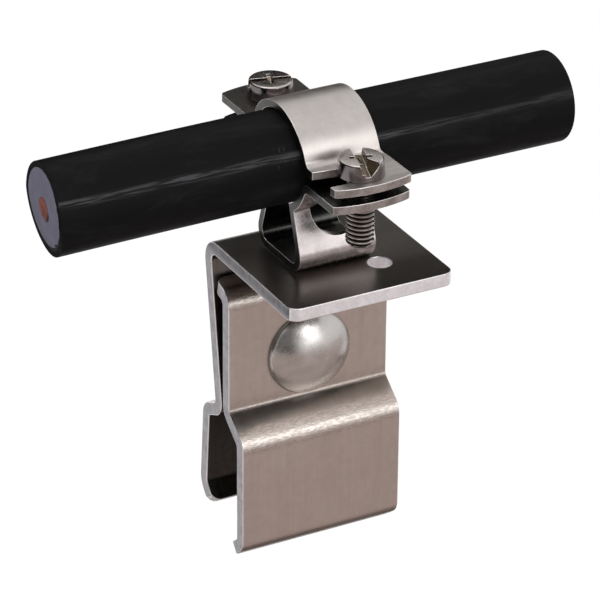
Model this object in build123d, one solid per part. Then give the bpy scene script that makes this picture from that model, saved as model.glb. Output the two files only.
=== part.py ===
from build123d import *
import math
import os

# Roof conductor holder: two folded plates grip a standing seam, a saddle and a cap grip the conductor.
# Millimetres. +X along the conductor, +Y from the front plate to the back plate, +Z up.
# Origin: mid width, middle of the jaw mouth, level with the lowest edge of the jaw.

# Plates
sheet = 3.0                 # thickness of both folded plates
plate_width = 38.6
plate_corner = 2.4          # rounding of the free corners
waist_gap = 0.4             # gap between the plates at the waist
curl_gap = 0.3              # gap left between the curled top edge and the back plate

# Front plate, from the bottom up; bend radii are those of the sheet's middle surface
leg_setout = 9.1            # middle of the lower leg, in front of the origin
lip_reach = 4.1             # how far the lip turns in under the seam
lip_drop = 3.2
leg_height = 24.8           # straight leg above the lip
knee_step = 6.6             # the leg stands this far in front of the upper part
knee_rise = 5.0
curl_room = 5.4             # between the curled top edge and the underside of the flange
curl_rise = 1.3             # the curled top edge still climbs a little on its way back
lip_bend = 2.6
front_bend = 3.0

# Back plate, from the flange down
flange_height = 72.9        # top of the flange above the origin
flange_front = 32.3         # front edge of the flange, in front of the origin
web_lean = 8.0              # degrees, the web leans forward on its way down
web_foot_drop = 0.9         # the web ends this far below the top of the front plate's knee
joggle_drop = 2.8
leg_lean = 4.3              # degrees, the rear leg leans back on its way down
rear_leg_height = 18.8      # from the joggle down to the turn into the foot
leg_foot_setback = 8.5      # the rear leg at that height, behind the origin
foot_turn = 37.0            # degrees
foot_length = 5.3
top_bend = 3.6
joggle_bend = 2.6
foot_bend = 3.4

# Holes in the plates
drain_hole = 5.2            # diameter of the open hole in the flange
drain_x = 7.4
drain_y = -21.3
hole_clearance = 0.5        # radial, round the jaw bolt in the back plate

# Jaw bolt, washer and nut
bolt_size = 8.0
bolt_length = 20.0
bolt_head_size = 19.6
bolt_head_height = 4.8
bolt_head_rim = 0.7
bolt_rise = 11.1            # axis of the bolt above the front plate's knee
neck_size = 8.0             # square neck under the head
neck_length = 4.0
neck_clearance = 0.1        # on each side of the neck
neck_chamfer = 0.3
bolt_chamfer = 0.8
nut_size = 13.0             # across the flats
nut_height = 6.5
nut_round = 14.5            # diameter of the turned chamfers of the nut
nut_chamfer = 0.6
washer_size = 14.8
washer_thickness = 2.0
washer_bore = 8.8
washer_split = 1.2
washer_split_turn = 20.0    # degrees, slant of the split
thread_clearance = 0.04     # radial, between a plain thread and its nut

# Conductor
conductor_size = 20.0
sheath_wall = 1.25
core_size = 5.2
conductor_left = 64.2       # from the origin to the left cut, on the axis
conductor_right = 55.0
cut_skew = 3.6              # degrees, the left cut is not quite square
conductor_setback = 22.0    # axis of the conductor behind the front edge of the flange
axis_height = 24.0          # axis of the conductor above the flange

# Saddle and cap
clamp_offset = -1.7         # the clamp sits a little left of the middle
clamp_width = 18.0
clamp_sheet = 1.8
cradle_clearance = 0.1
cap_clearance = 0.3
cap_front_rise = 2.2        # top of the front ear of the cap above the conductor's axis
cap_rear_rise = 3.3
cap_front_margin = 6.5      # from a screw's axis to the outer edge of the ear
cap_rear_margin = 6.9
cap_slot_mouth = 7.6        # the front ear is open to the left, so that the cap swings off its screw
cap_slot_skew = 0.8         # the mouth lies this much nearer to the conductor than the screw
saddle_ear_drop = 1.8       # top of the saddle's ears below the conductor's axis
saddle_margin = 5.9
ear_bow = 1.5               # the outer edges bow out by this much
ear_corner = 1.1
ear_bend = 1.7              # inside radius of the ear bends
saddle_corner = 9.7         # half width of the saddle's foot, at the bend corner
saddle_bend = 3.0
neck_half = 5.3             # half width of the saddle's neck, where it meets the cradle
neck_bend = 0.8
window_size = 12.4          # round window punched at the neck of the saddle
window_squash = 0.7         # the half that lies in the cradle looks lower from the side
window_x = -0.7
window_drop = 0.9           # centre of the window below the neck

# Clamp screws
screw_size = 6.0
screw_length = 16.0
front_screw_reach = 19.0    # from the conductor's axis to a screw
rear_screw_reach = 21.4
front_screw_x = -2.0
rear_screw_x = -1.6
screw_head_size = 9.8
screw_head_top = 9.0
screw_head_height = 3.7
screw_hole_clearance = 0.3
screw_chamfer = 0.8
screw_head_round = 0.35
slot_width = 1.6
slot_depth = 1.9
cross_width = 1.3
cross_length = 5.0
cross_depth = 1.6
front_slot_angle = 73.0     # degrees from +X
rear_slot_angle = -15.0

# Rivet between the saddle and the flange
rivet_size = 5.0
rivet_head_size = 8.4
rivet_head_height = 1.6
rivet_head_round = 1.2
rivet_clearance = 0.1

# Worked out from the sizes above
half = sheet / 2
lip_length = math.hypot(lip_reach, lip_drop)
lip_corner_z = lip_drop + half * lip_reach / lip_length
knee_low_z = lip_corner_z + leg_height
knee_high_z = knee_low_z + knee_rise
bolt_height = knee_high_z + bolt_rise
curl_corner_z = flange_height - sheet - curl_room - half - curl_rise
front_upper_y = knee_step - leg_setout
bolt_face_y = front_upper_y - half
web_slope = math.tan(math.radians(web_lean))
web_half = half / math.cos(math.radians(web_lean))
web_foot_y = front_upper_y + half + waist_gap + web_half
flange_middle_z = flange_height - half
web_foot = knee_high_z - web_foot_drop
joggle_z = web_foot - joggle_drop
leg_foot = joggle_z - rear_leg_height
joggle_y = leg_foot_setback - math.tan(math.radians(leg_lean)) * (joggle_z - leg_foot)
foot_tip_y = leg_foot_setback - math.sin(math.radians(foot_turn)) * foot_length
foot_tip_z = leg_foot - math.cos(math.radians(foot_turn)) * foot_length
conductor_y = conductor_setback - flange_front
conductor_z = flange_height + axis_height
conductor_radius = conductor_size / 2
insulation_radius = conductor_radius - sheath_wall
core_radius = core_size / 2
cap_inner = conductor_radius + cap_clearance
cap_outer = cap_inner + clamp_sheet
cradle_inner = conductor_radius + cradle_clearance
cradle_outer = cradle_inner + clamp_sheet
saddle_ear_top = conductor_z - saddle_ear_drop
saddle_ear_bottom = saddle_ear_top - clamp_sheet
outer_ear_bend = ear_bend + clamp_sheet
cap_front_reach = front_screw_reach + cap_front_margin
cap_rear_reach = rear_screw_reach + cap_rear_margin
saddle_front_reach = front_screw_reach + saddle_margin
saddle_rear_reach = rear_screw_reach + saddle_margin
front_screw_y = conductor_y - front_screw_reach
rear_screw_y = conductor_y + rear_screw_reach


def web_y(z):
    """Middle surface of the leaning web at a given height."""
    return web_foot_y + web_slope * (z - web_foot)


def unit(a, b):
    dy, dz = b[0] - a[0], b[1] - a[1]
    length = math.hypot(dy, dz)
    return dy / length, dz / length


def side_line(points, radii, shift):
    """The folded line moved sideways by shift, with its bend radii grown or shrunk to match."""
    runs = [unit(a, b) for a, b in zip(points, points[1:])]
    moved = [(points[0][0] - shift * runs[0][1], points[0][1] + shift * runs[0][0])]
    rounds = []
    for corner, before, after, radius in zip(points[1:], runs, runs[1:], radii):
        turn = math.atan2(before[0] * after[1] - before[1] * after[0],
                          before[0] * after[0] + before[1] * after[1])
        reach = shift / math.cos(turn / 2)
        normal = (-before[1] - after[1], before[0] + after[0])
        length = math.hypot(*normal)
        moved.append((corner[0] + reach * normal[0] / length, corner[1] + reach * normal[1] / length))
        rounds.append(radius - shift * math.copysign(1, turn))
    last = runs[-1]
    moved.append((points[-1][0] - shift * last[1], points[-1][1] + shift * last[0]))
    return FilletPolyline(*moved, radius=rounds)


def folded_section(points, radii, thickness):
    """Section of a folded sheet, from the corners and bend radii of its middle surface."""
    left = side_line(points, radii, thickness / 2)
    right = side_line(points, radii, -thickness / 2)
    ends = Line(left @ 0, right @ 0) + Line(left @ 1, right @ 1)
    return make_face((left + right + ends).edges())


def across(section, width, middle=0.0):
    """A section drawn in Y and Z, run across the width."""
    return extrude(Plane.YZ.offset(middle - width / 2) * section, width)


def round_end(body, end, width, radius, middle=0.0):
    """Round the two corners of a sheet at a free end."""
    corners = [Vector(middle + side * width / 2, *end) for side in (-1, 1)]
    edges = [edge for edge in body.edges()
             if min((edge.center() - corner).length for corner in corners) < 0.05]
    return fillet(edges, radius)


def along_y(x, z, start, stop, radius):
    return Pos(x, start, z) * Rot(-90, 0, 0) * Cylinder(
        radius, stop - start, align=(Align.CENTER, Align.CENTER, Align.MIN))


def make_front_plate():
    curl_end_z = curl_corner_z + curl_rise
    curl_run = web_y(curl_end_z) - web_half - curl_gap - front_upper_y
    tip = half * curl_rise / math.hypot(curl_run, curl_rise)
    points = [(lip_reach - leg_setout, lip_corner_z - lip_drop),
              (-leg_setout, lip_corner_z),
              (-leg_setout, knee_low_z),
              (front_upper_y, knee_high_z),
              (front_upper_y, curl_corner_z),
              (front_upper_y + curl_run - tip, curl_end_z)]
    body = across(folded_section(points, [lip_bend] + 3 * [front_bend], sheet), plate_width)
    body = round_end(body, points[0], plate_width, plate_corner)
    body = round_end(body, points[-1], plate_width, plate_corner)
    side = neck_size + 2 * neck_clearance
    return body - Pos(0, front_upper_y, bolt_height) * Box(side, 2 * sheet, side)


def make_back_plate():
    points = [(-flange_front, flange_middle_z),
              (web_y(flange_middle_z), flange_middle_z),
              (web_foot_y, web_foot),
              (joggle_y, joggle_z),
              (leg_foot_setback, leg_foot),
              (foot_tip_y, foot_tip_z)]
    radii = [top_bend, joggle_bend, joggle_bend, foot_bend]
    body = across(folded_section(points, radii, sheet), plate_width)
    body = round_end(body, points[0], plate_width, plate_corner)
    body = round_end(body, points[-1], plate_width, plate_corner)
    body -= along_y(0, bolt_height, 0, 2 * web_y(bolt_height), bolt_size / 2 + hole_clearance)
    body -= Pos(drain_x, drain_y, flange_height) * Cylinder(drain_hole / 2, 3 * sheet)
    rivet_hole = Cylinder(rivet_size / 2 + rivet_clearance, 3 * sheet)
    return body - Pos(clamp_offset, conductor_y, flange_height) * rivet_hole


def make_carriage_bolt():
    head_radius = bolt_head_size / 2
    rise = bolt_head_height - bolt_head_rim
    dome = (head_radius ** 2 + rise ** 2) / (2 * rise)
    mid_turn = math.asin(head_radius / dome) / 2
    mid = (dome * math.sin(mid_turn), bolt_head_height - dome * (1 - math.cos(mid_turn)))
    outline = (Line((0, 0), (head_radius, 0)) + Line((head_radius, 0), (head_radius, bolt_head_rim))
               + ThreePointArc((head_radius, bolt_head_rim), mid, (0, bolt_head_height))
               + Line((0, bolt_head_height), (0, 0)))
    head = revolve(Plane.XZ * make_face(outline.edges()), Axis.Z)
    shank = Pos(0, 0, -bolt_length / 2) * Cylinder(bolt_size / 2, bolt_length)
    shank = chamfer(shank.edges().group_by(Axis.Z)[0], bolt_chamfer)
    neck = Pos(0, 0, -neck_length / 2) * Box(neck_size, neck_size, neck_length)
    neck = chamfer(neck.edges().group_by(Axis.Z)[0], neck_chamfer)
    return Pos(0, bolt_face_y, bolt_height) * Rot(90, 0, 0) * (head + neck + shank)


def washer_face_y():
    """Rear face of the web at the height of the bolt."""
    return web_y(bolt_height) + web_half


def make_spring_washer():
    ring = Cylinder(washer_size / 2, washer_thickness) - Cylinder(washer_bore / 2, 2 * washer_thickness)
    split = Rot(washer_split_turn, 0, 0) * Box(washer_size, washer_split, 3 * washer_thickness)
    ring -= Pos(washer_size / 2, 0, 0) * split
    lift = washer_thickness / 2 / math.cos(math.radians(web_lean))
    return Pos(0, washer_face_y() + lift, bolt_height) * Rot(-90 - web_lean, 0, 0) * ring


def nut_start():
    """Front face of the nut; it touches the leaning washer at the washer's top edge."""
    tilt = math.radians(web_lean)
    edge = math.sin(tilt) * washer_size / 2
    return washer_face_y() + washer_thickness / math.cos(tilt) + edge


def make_hex_nut():
    nut = extrude(RegularPolygon(nut_size / 2, 6, major_radius=False), nut_height)
    dome = Cylinder(nut_round / 2, nut_height, align=(Align.CENTER, Align.CENTER, Align.MIN))
    nut &= chamfer(dome.edges(), nut_chamfer)
    nut -= Cylinder(bolt_size / 2 + thread_clearance, 3 * nut_height)
    return Pos(0, nut_start(), bolt_height) * Rot(-90, 0, 0) * nut


def ear_plan(front_reach, rear_reach):
    """The two ears and the strip between them seen from above, with bowed outer edges."""
    side = clamp_width / 2
    front = ear_bow - front_reach
    rear = rear_reach - ear_bow
    rear_edge = ThreePointArc((-side, rear), (0, rear_reach), (side, rear))
    front_edge = ThreePointArc((side, front), (0, -front_reach), (-side, front))
    sides = Line((-side, front), (-side, rear)) + Line((side, rear), (side, front))
    plan = make_face((rear_edge + front_edge + sides).edges())
    return fillet(plan.vertices(), ear_corner)


def ring_section(inner, outer):
    return Pos(conductor_y, conductor_z) * (Circle(outer) - Circle(inner))


def side_box(side, bottom, length, height):
    """A rectangle from the conductor's axis out to the front (-1) or to the rear (1)."""
    return Pos(conductor_y + side * length / 2, bottom + height / 2) * Rectangle(length, height)


def circle_vertices(section, radius, bottom, top):
    """Corners of a section that lie on a circle about the conductor's axis, between two heights."""
    return [vertex for vertex in section.vertices()
            if bottom < vertex.Y < top
            and abs(math.hypot(vertex.X - conductor_y, vertex.Y - conductor_z) - radius) < 0.01]


def trim_to_plan(body, plan, bottom, top):
    return body & Pos(clamp_offset, conductor_y, bottom) * extrude(plan, top - bottom)


def screw_holes(height, radius):
    """The two upright screw holes, as bodies to cut away."""
    tool = Cylinder(radius, 4 * clamp_sheet)
    return Pos(front_screw_x, front_screw_y, height) * tool + Pos(rear_screw_x, rear_screw_y, height) * tool


def cap_slot():
    """The slot from the front screw out through the left side of the ear, a little wider at its mouth."""
    throat = screw_size / 2 + screw_hole_clearance
    side = clamp_offset - clamp_width / 2
    mouth_y = front_screw_y + cap_slot_skew
    rear, front = mouth_y + cap_slot_mouth / 2, mouth_y - cap_slot_mouth / 2
    return make_face(Polyline(
        (front_screw_x, front_screw_y + throat), (side, rear), (side - clamp_sheet, rear),
        (side - clamp_sheet, front), (side, front), (front_screw_x, front_screw_y - throat), close=True).edges())


def make_cap():
    ring = ring_section(cap_inner, cap_outer)
    hole = Pos(conductor_y, conductor_z) * Circle(cap_inner)
    front_bottom = conductor_z + cap_front_rise - clamp_sheet
    rear_bottom = conductor_z + cap_rear_rise - clamp_sheet
    section = ((ring & side_box(-1, front_bottom, 2 * cap_outer, cap_outer))
               + (ring & side_box(1, rear_bottom, 2 * cap_outer, cap_outer))
               + (side_box(-1, front_bottom, cap_front_reach, clamp_sheet) - hole)
               + (side_box(1, rear_bottom, cap_rear_reach, clamp_sheet) - hole))
    top = conductor_z + max(cap_front_rise, cap_rear_rise) + ear_bend
    section = fillet(circle_vertices(section, cap_outer, front_bottom, top), ear_bend)
    section = fillet(circle_vertices(section, cap_inner, front_bottom - 1, top), outer_ear_bend)
    body = across(section, clamp_width, clamp_offset)
    plan = ear_plan(cap_front_reach, cap_rear_reach)
    body = trim_to_plan(body, plan, front_bottom - 1, conductor_z + 2 * cap_outer)
    body -= Pos(0, 0, front_bottom - 1) * extrude(cap_slot(), 2 + clamp_sheet)
    return body - screw_holes(conductor_z, screw_size / 2 + screw_hole_clearance)


def make_saddle():
    low = flange_height + clamp_sheet / 2
    neck_z = conductor_z - math.sqrt(((cradle_inner + cradle_outer) / 2) ** 2 - neck_half ** 2)
    lean = (saddle_corner - neck_half) / (neck_z - low)
    wall_half = clamp_sheet / 2 * math.hypot(1, lean)

    def wall_y(z):
        return saddle_corner - lean * (z - low)

    points = [(-wall_y(conductor_z), conductor_z), (-saddle_corner, low),
              (saddle_corner, low), (wall_y(conductor_z), conductor_z)]
    points = [(conductor_y + y, z) for y, z in points]
    hole = Pos(conductor_y, conductor_z) * Circle(cradle_inner)
    trough = folded_section(points, [saddle_bend, saddle_bend], clamp_sheet) - hole
    foot_z = conductor_z - cradle_outer - clamp_sheet
    inner_foot = wall_y(foot_z) - wall_half
    inner_top = wall_y(conductor_z) - wall_half
    between = make_face(Polyline(
        (conductor_y - inner_foot, foot_z), (conductor_y + inner_foot, foot_z),
        (conductor_y + inner_top, conductor_z), (conductor_y - inner_top, conductor_z), close=True).edges())
    cradle = ring_section(cradle_inner, cradle_outer) - between
    cradle -= Pos(conductor_y, saddle_ear_top + cradle_outer) * Rectangle(4 * cradle_outer, 2 * cradle_outer)
    ears = Pos(conductor_y, saddle_ear_bottom + clamp_sheet / 2) * Rectangle(
        2 * saddle_rear_reach, clamp_sheet) - hole
    section = trough + cradle + ears
    neck_top = neck_z + 2 * clamp_sheet
    section = fillet(circle_vertices(section, cradle_outer, neck_top, saddle_ear_top), ear_bend)
    section = fillet(circle_vertices(section, cradle_inner, neck_top, conductor_z), outer_ear_bend)
    section = fillet(circle_vertices(section, cradle_outer, low, neck_top), neck_bend)
    section = fillet(circle_vertices(section, cradle_inner, low, neck_top), neck_bend)
    body = across(section, clamp_width, clamp_offset)
    plan = ear_plan(saddle_front_reach, saddle_rear_reach)
    body = trim_to_plan(body, plan, flange_height - 1, conductor_z)
    window = window_size / 2
    lower = Circle(window) & Pos(0, -window) * Rectangle(2 * window, 2 * window)
    upper = Ellipse(window, window * window_squash) & Pos(0, window) * Rectangle(2 * window, 2 * window)
    cutter = extrude(Plane.XZ * (lower + upper), 2 * cradle_outer, both=True)
    body -= Pos(window_x, conductor_y, neck_z - window_drop) * cutter
    body -= screw_holes(saddle_ear_bottom, screw_size / 2 + thread_clearance)
    return body - Pos(clamp_offset, conductor_y, flange_height) * Cylinder(
        rivet_size / 2 + rivet_clearance, 4 * clamp_sheet)


def make_saddle_rivet():
    shank_bottom = flange_height - sheet
    shank_top = flange_height + clamp_sheet
    shank = Pos(0, 0, shank_bottom) * Cylinder(
        rivet_size / 2, shank_top - shank_bottom, align=(Align.CENTER, Align.CENTER, Align.MIN))
    head = Cylinder(rivet_head_size / 2, rivet_head_height, align=(Align.CENTER, Align.CENTER, Align.MIN))
    head = fillet(head.edges().group_by(Axis.Z)[-1], rivet_head_round)
    upper = Pos(0, 0, shank_top) * head
    lower = Pos(0, 0, shank_bottom) * Rot(180, 0, 0) * head
    return Pos(clamp_offset, conductor_y, 0) * (shank + upper + lower)


def make_screw(x, y, seat, slot_angle):
    """A screw seated on an ear, with a slot and a cross recess in its head."""
    head = Cone(screw_head_size / 2, screw_head_top / 2, screw_head_height,
                align=(Align.CENTER, Align.CENTER, Align.MIN))
    head = fillet(head.edges().group_by(Axis.Z)[-1], screw_head_round)
    slot = Box(2 * screw_head_size, slot_width, 2 * slot_depth)
    cross = Box(cross_width, cross_length, 2 * cross_depth)
    head -= Pos(0, 0, screw_head_height) * Rot(0, 0, slot_angle) * (slot + cross)
    shank = Pos(0, 0, -screw_length / 2) * Cylinder(screw_size / 2, screw_length)
    shank = chamfer(shank.edges().group_by(Axis.Z)[0], screw_chamfer)
    return Pos(x, y, seat) * (head + shank)


def conductor_layer(outer, inner):
    """One layer of the conductor, with the left end cut a little out of square."""
    reach = conductor_left + conductor_radius
    bar = Circle(outer) - Circle(inner) if inner else Circle(outer)
    layer = extrude(Plane.YZ.offset(-reach) * (Pos(conductor_y, conductor_z) * bar), reach + conductor_right)
    waste = Pos(-conductor_left, conductor_y, conductor_z) * Rot(0, 0, -cut_skew) * Pos(-reach, 0, 0) * Box(
        2 * reach, 4 * conductor_radius, 4 * conductor_radius)
    return layer - waste


nodes = {
    "back_plate": make_back_plate(),
    "front_plate": make_front_plate(),
    "carriage_bolt": make_carriage_bolt(),
    "spring_washer": make_spring_washer(),
    "hex_nut": make_hex_nut(),
    "saddle": make_saddle(),
    "saddle_rivet": make_saddle_rivet(),
    "cap": make_cap(),
    "front_screw": make_screw(front_screw_x, front_screw_y, conductor_z + cap_front_rise, front_slot_angle),
    "rear_screw": make_screw(rear_screw_x, rear_screw_y, conductor_z + cap_rear_rise, rear_slot_angle),
    "conductor_sheath": conductor_layer(conductor_radius, insulation_radius),
    "conductor_insulation": conductor_layer(insulation_radius, core_radius),
    "conductor_core": conductor_layer(core_radius, 0),
}

os.makedirs("parts", exist_ok=True)
for name, body in nodes.items():
    export_step(body, f"parts/{name}.step")
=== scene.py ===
# %% [markdown]
# # A conductor holder for a standing seam roof
#
# Two folded steel plates bite the seam of a metal roof, a bolt pulls them together, and a
# clamp on top grips a round insulated conductor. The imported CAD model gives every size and
# place. This lesson dresses it: the folded plates get soft edges and a brushed grain, the
# screws get real threads, and the conductor gets its rubber, plastic and copper.

# %% Load the fixed frame
from math import cos, pi, radians, sin, tau

import bmesh
import bpy
from mathutils import Matrix, Vector


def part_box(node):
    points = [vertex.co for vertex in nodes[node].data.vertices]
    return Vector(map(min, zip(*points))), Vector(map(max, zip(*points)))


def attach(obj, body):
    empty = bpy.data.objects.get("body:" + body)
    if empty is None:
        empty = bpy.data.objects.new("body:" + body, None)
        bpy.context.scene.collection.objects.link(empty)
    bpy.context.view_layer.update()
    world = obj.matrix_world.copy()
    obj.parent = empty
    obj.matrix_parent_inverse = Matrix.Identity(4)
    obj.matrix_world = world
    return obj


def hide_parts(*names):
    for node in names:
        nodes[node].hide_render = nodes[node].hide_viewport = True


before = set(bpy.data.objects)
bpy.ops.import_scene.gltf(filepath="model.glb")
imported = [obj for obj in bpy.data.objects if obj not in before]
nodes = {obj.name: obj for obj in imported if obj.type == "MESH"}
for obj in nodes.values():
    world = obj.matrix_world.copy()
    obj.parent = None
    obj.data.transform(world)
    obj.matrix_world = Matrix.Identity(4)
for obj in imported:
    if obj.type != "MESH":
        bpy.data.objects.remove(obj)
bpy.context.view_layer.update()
MM = 0.001

# %% [markdown]
# The camera comes first, because every later choice is judged through it. It stands in front
# of the holder, a little to its left and above, with a long lens, so that the conductor's far
# end looks hardly smaller than its near end. Its axes are written as a matrix: right, up and
# backwards, each at right angles to the others.

# %% The camera
AZIMUTH, ELEVATION, ROLL = radians(-28.22), radians(27.67), radians(0.48)
CAMERA_DISTANCE = 0.76293
AIM = Vector((-5.58, -10.3, 61.93)) * MM

backwards = Vector((sin(AZIMUTH) * cos(ELEVATION), -cos(AZIMUTH) * cos(ELEVATION), sin(ELEVATION)))
level_right = (-backwards).cross(Vector((0, 0, 1))).normalized()
level_up = level_right.cross(-backwards)
right = level_right * cos(ROLL) + level_up * sin(ROLL)
up = level_up * cos(ROLL) - level_right * sin(ROLL)

lens = bpy.data.cameras.new("camera")
lens.lens, lens.sensor_width, lens.sensor_fit = 216.0, 36.0, "HORIZONTAL"
lens.clip_start, lens.clip_end = 0.05, 20.0
camera = bpy.data.objects.new("camera", lens)
bpy.context.scene.collection.objects.link(camera)
camera.matrix_world = (Matrix.Translation(AIM + backwards * CAMERA_DISTANCE)
                       @ Matrix((right, up, backwards)).transposed().to_4x4())
bpy.context.scene.camera = camera
bpy.context.scene.view_settings.view_transform = "Standard"
print("camera stands at", [round(c, 3) for c in camera.location])

# %% [markdown]
# Steel shows nothing but its surroundings, so the studio is half of the material. White walls
# all round would make every plate equally pale. So a dark flag stands behind the holder and
# one on its left, and a warm grey board lies on the floor in front of it. The floor and the
# world are white where the camera or a mirror sees them, and the world is a plain soft grey
# where it lights matt surfaces.

# %% The world
SKY_AS_SEEN, SKY_AS_LIGHT = 1.0, 0.60

world = bpy.data.worlds.new("studio")
bpy.context.scene.world = world
world.use_nodes = True
sky = world.node_tree
sky.nodes.clear()


def white_sky(strength):
    """White light from all round."""
    light = sky.nodes.new("ShaderNodeBackground")
    light.inputs["Color"].default_value = (1, 1, 1, 1)
    light.inputs["Strength"].default_value = strength
    return light.outputs[0]


def seen_directly(tree):
    """1 where the camera, a mirror or a clear body looks, and 0 where the ray only gathers light."""
    path = tree.nodes.new("ShaderNodeLightPath")
    found = path.outputs["Is Camera Ray"]
    for kind in ("Is Glossy Ray", "Is Transmission Ray"):
        either = tree.nodes.new("ShaderNodeMath")
        either.operation = "MAXIMUM"
        tree.links.new(found, either.inputs[0])
        tree.links.new(path.outputs[kind], either.inputs[1])
        found = either.outputs[0]
    return found


def choose(tree, share, first, second):
    """The first shader where share is 0 and the second where it is 1."""
    mix = tree.nodes.new("ShaderNodeMixShader")
    for number, link in enumerate((share, first, second)):
        tree.links.new(link, mix.inputs[number])
    return mix.outputs[0]


both = choose(sky, seen_directly(sky), white_sky(SKY_AS_LIGHT), white_sky(SKY_AS_SEEN))
sky.links.new(both, sky.nodes.new("ShaderNodeOutputWorld").inputs["Surface"])
print("the sky looks", SKY_AS_SEEN, "and lights", SKY_AS_LIGHT)

# %% [markdown]
# A board is one rectangle of mesh, given by its middle and two half sides. Boards for
# reflections are hidden from the camera and cast no shadow, so they exist only in the steel.
# The front plate has a crease with a knee below it. Three small cards lie right over them and
# are seen only from below: the crease mirrors the dark and the brown one, and the knee the
# pale one. That gives the bend its dark and its bright band. The cards are painted reflections:
# a painted shade under the crease and a painted highlight on the knee.

# %% Floor and boards
FLOOR_HEIGHT = -0.12
JUST_OVER_FLOOR = FLOOR_HEIGHT + 0.002
PAPER_GLOW, PAPER_BOUNCE, PAPER_SHADOWS = 0.94, 0.9, 0.1


def board(name, middle, half_side, half_rise, material):
    """A flat rectangle of the studio."""
    middle, half_side, half_rise = Vector(middle), Vector(half_side), Vector(half_rise)
    corners = [middle + half_side * a + half_rise * b for a, b in ((-1, -1), (1, -1), (1, 1), (-1, 1))]
    mesh = bpy.data.meshes.new(name)
    mesh.from_pydata([tuple(c) for c in corners], [], [(0, 1, 2, 3)])
    made = bpy.data.objects.new(name, mesh)
    bpy.context.scene.collection.objects.link(made)
    mesh.materials.append(material)
    return made


def plain_glow(name, colour, strength=1.0, one_sided=False):
    """A board's colour, whatever the lamps do. A one-sided board can't be seen from behind."""
    material = bpy.data.materials.new(name)
    material.use_nodes = True
    tree = material.node_tree
    tree.nodes.clear()
    glow = tree.nodes.new("ShaderNodeEmission")
    glow.inputs["Color"].default_value = (*colour, 1)
    glow.inputs["Strength"].default_value = strength
    shown = glow.outputs[0]
    if one_sided:
        behind = tree.nodes.new("ShaderNodeNewGeometry").outputs["Backfacing"]
        shown = choose(tree, behind, shown, tree.nodes.new("ShaderNodeBsdfTransparent").outputs[0])
    tree.links.new(shown, tree.nodes.new("ShaderNodeOutputMaterial").inputs["Surface"])
    return material


def white_floor():
    """White paper. Where it is seen it glows nearly white, so the lamps' shadows stay faint."""
    material = plain_glow("white_paper", (1, 1, 1), PAPER_GLOW)
    tree = material.node_tree
    glow = next(n for n in tree.nodes if n.type == "EMISSION")
    out = next(n for n in tree.nodes if n.type == "OUTPUT_MATERIAL")
    papers = []
    for grey in (PAPER_BOUNCE, PAPER_SHADOWS):
        paper = tree.nodes.new("ShaderNodeBsdfDiffuse")
        paper.inputs["Color"].default_value = (grey, grey, grey, 1)
        papers.append(paper.outputs[0])
    seen = tree.nodes.new("ShaderNodeAddShader")
    tree.links.new(glow.outputs[0], seen.inputs[0])
    tree.links.new(papers[1], seen.inputs[1])
    tree.links.new(choose(tree, seen_directly(tree), papers[0], seen.outputs[0]), out.inputs["Surface"])
    return material


def only_in_reflections(obj):
    """The camera and the lamps' light pass through it."""
    obj.visible_camera = False
    obj.visible_diffuse = False
    obj.visible_shadow = False


board("floor", (0, 0, FLOOR_HEIGHT), (4, 0, 0), (0, 4, 0), white_floor())
flag_black = plain_glow("flag_black", (0.022, 0.020, 0.018))
flag_grey = plain_glow("flag_grey", (0.14, 0.135, 0.13))
flag_brown = plain_glow("flag_brown", (0.11, 0.105, 0.095))
# The cards are painted reflections: the dark one paints shade, the pale one a highlight.
card_painted_shade = plain_glow("card_painted_shade", (0.008, 0.006, 0.005), one_sided=True)
card_brown = plain_glow("card_brown", (0.20, 0.17, 0.145), one_sided=True)
card_painted_highlight = plain_glow("card_painted_highlight", (1.15, 1.08, 1.04), one_sided=True)
board_brown = plain_glow("board_brown", (0.16, 0.13, 0.12))
board_taupe = plain_glow("board_taupe", (0.58, 0.485, 0.455))
for name, middle, half_side, half_rise, material in (
        ("rear_flag", (-0.034, 0.10, 0.129), (0.094, 0, 0), (0, 0, 0.047), flag_black),
        ("rear_right_flag", (0.170, 0.10, 0.129), (0.110, 0, 0), (0, 0, 0.047), flag_brown),
        ("left_flag", (-1.25, 0.3, 0.415), (0, 0.9, 0), (0, 0, 0.535), flag_black),
        ("front_left_flag", (-0.55, -0.78, 0.32), (0.33, -0.23, 0), (0, 0, 0.44), flag_grey),
        ("painted_shade_card", (-0.0020, -0.0052, 0.0370), (-0.0240, -0.0034, 0), (0, 0.0030, 0), card_painted_shade),
        ("brown_card", (-0.0010, -0.0065, 0.0375), (-0.0230, 0, 0), (0, 0.0031, 0), card_brown),
        ("painted_highlight_card", (0.0000, -0.0118, 0.0375), (-0.0280, 0, 0), (0, 0.0022, 0), card_painted_highlight),
        ("warm_board", (0.15, -0.62, JUST_OVER_FLOOR), (0.75, 0, 0), (0, 0.57, 0), board_taupe),
        ("brown_board", (0.06, 0.02, JUST_OVER_FLOOR), (0.20, 0, 0), (0, 0.07, 0), board_brown)):
    only_in_reflections(board(name, middle, half_side, half_rise, material))
    print("board", name)

# %% [markdown]
# The lamps are area lamps, all aimed at the holder. Large ones make the broad soft bands that
# run along a folded sheet, and the small bright one makes the hot spot on the round head.
# Their power is worked out from how bright their face should look beside white paper.

# %% Lamps
HEART = Vector((0, -0.01, 0.07))


def softbox(name, place, width, height, brightness):
    """An area lamp whose face looks `brightness` times as bright as white paper."""
    light = bpy.data.lights.new(name, "AREA")
    light.shape = "RECTANGLE"
    light.size, light.size_y = width, height
    light.energy = brightness * pi * width * height
    lamp = bpy.data.objects.new(name, light)
    bpy.context.scene.collection.objects.link(lamp)
    lamp.location = place
    lamp.rotation_euler = (HEART - Vector(place)).to_track_quat("-Z", "Y").to_euler()


softbox("side_softbox", (0.26, -0.86, 0.38), 0.50, 0.52, 1.9)
softbox("top_softbox", (-0.25, -0.15, 1.05), 0.8, 0.8, 1.3)
softbox("key_lamp", (0.135, -0.80, 0.52), 0.17, 0.15, 6.8)

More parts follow.
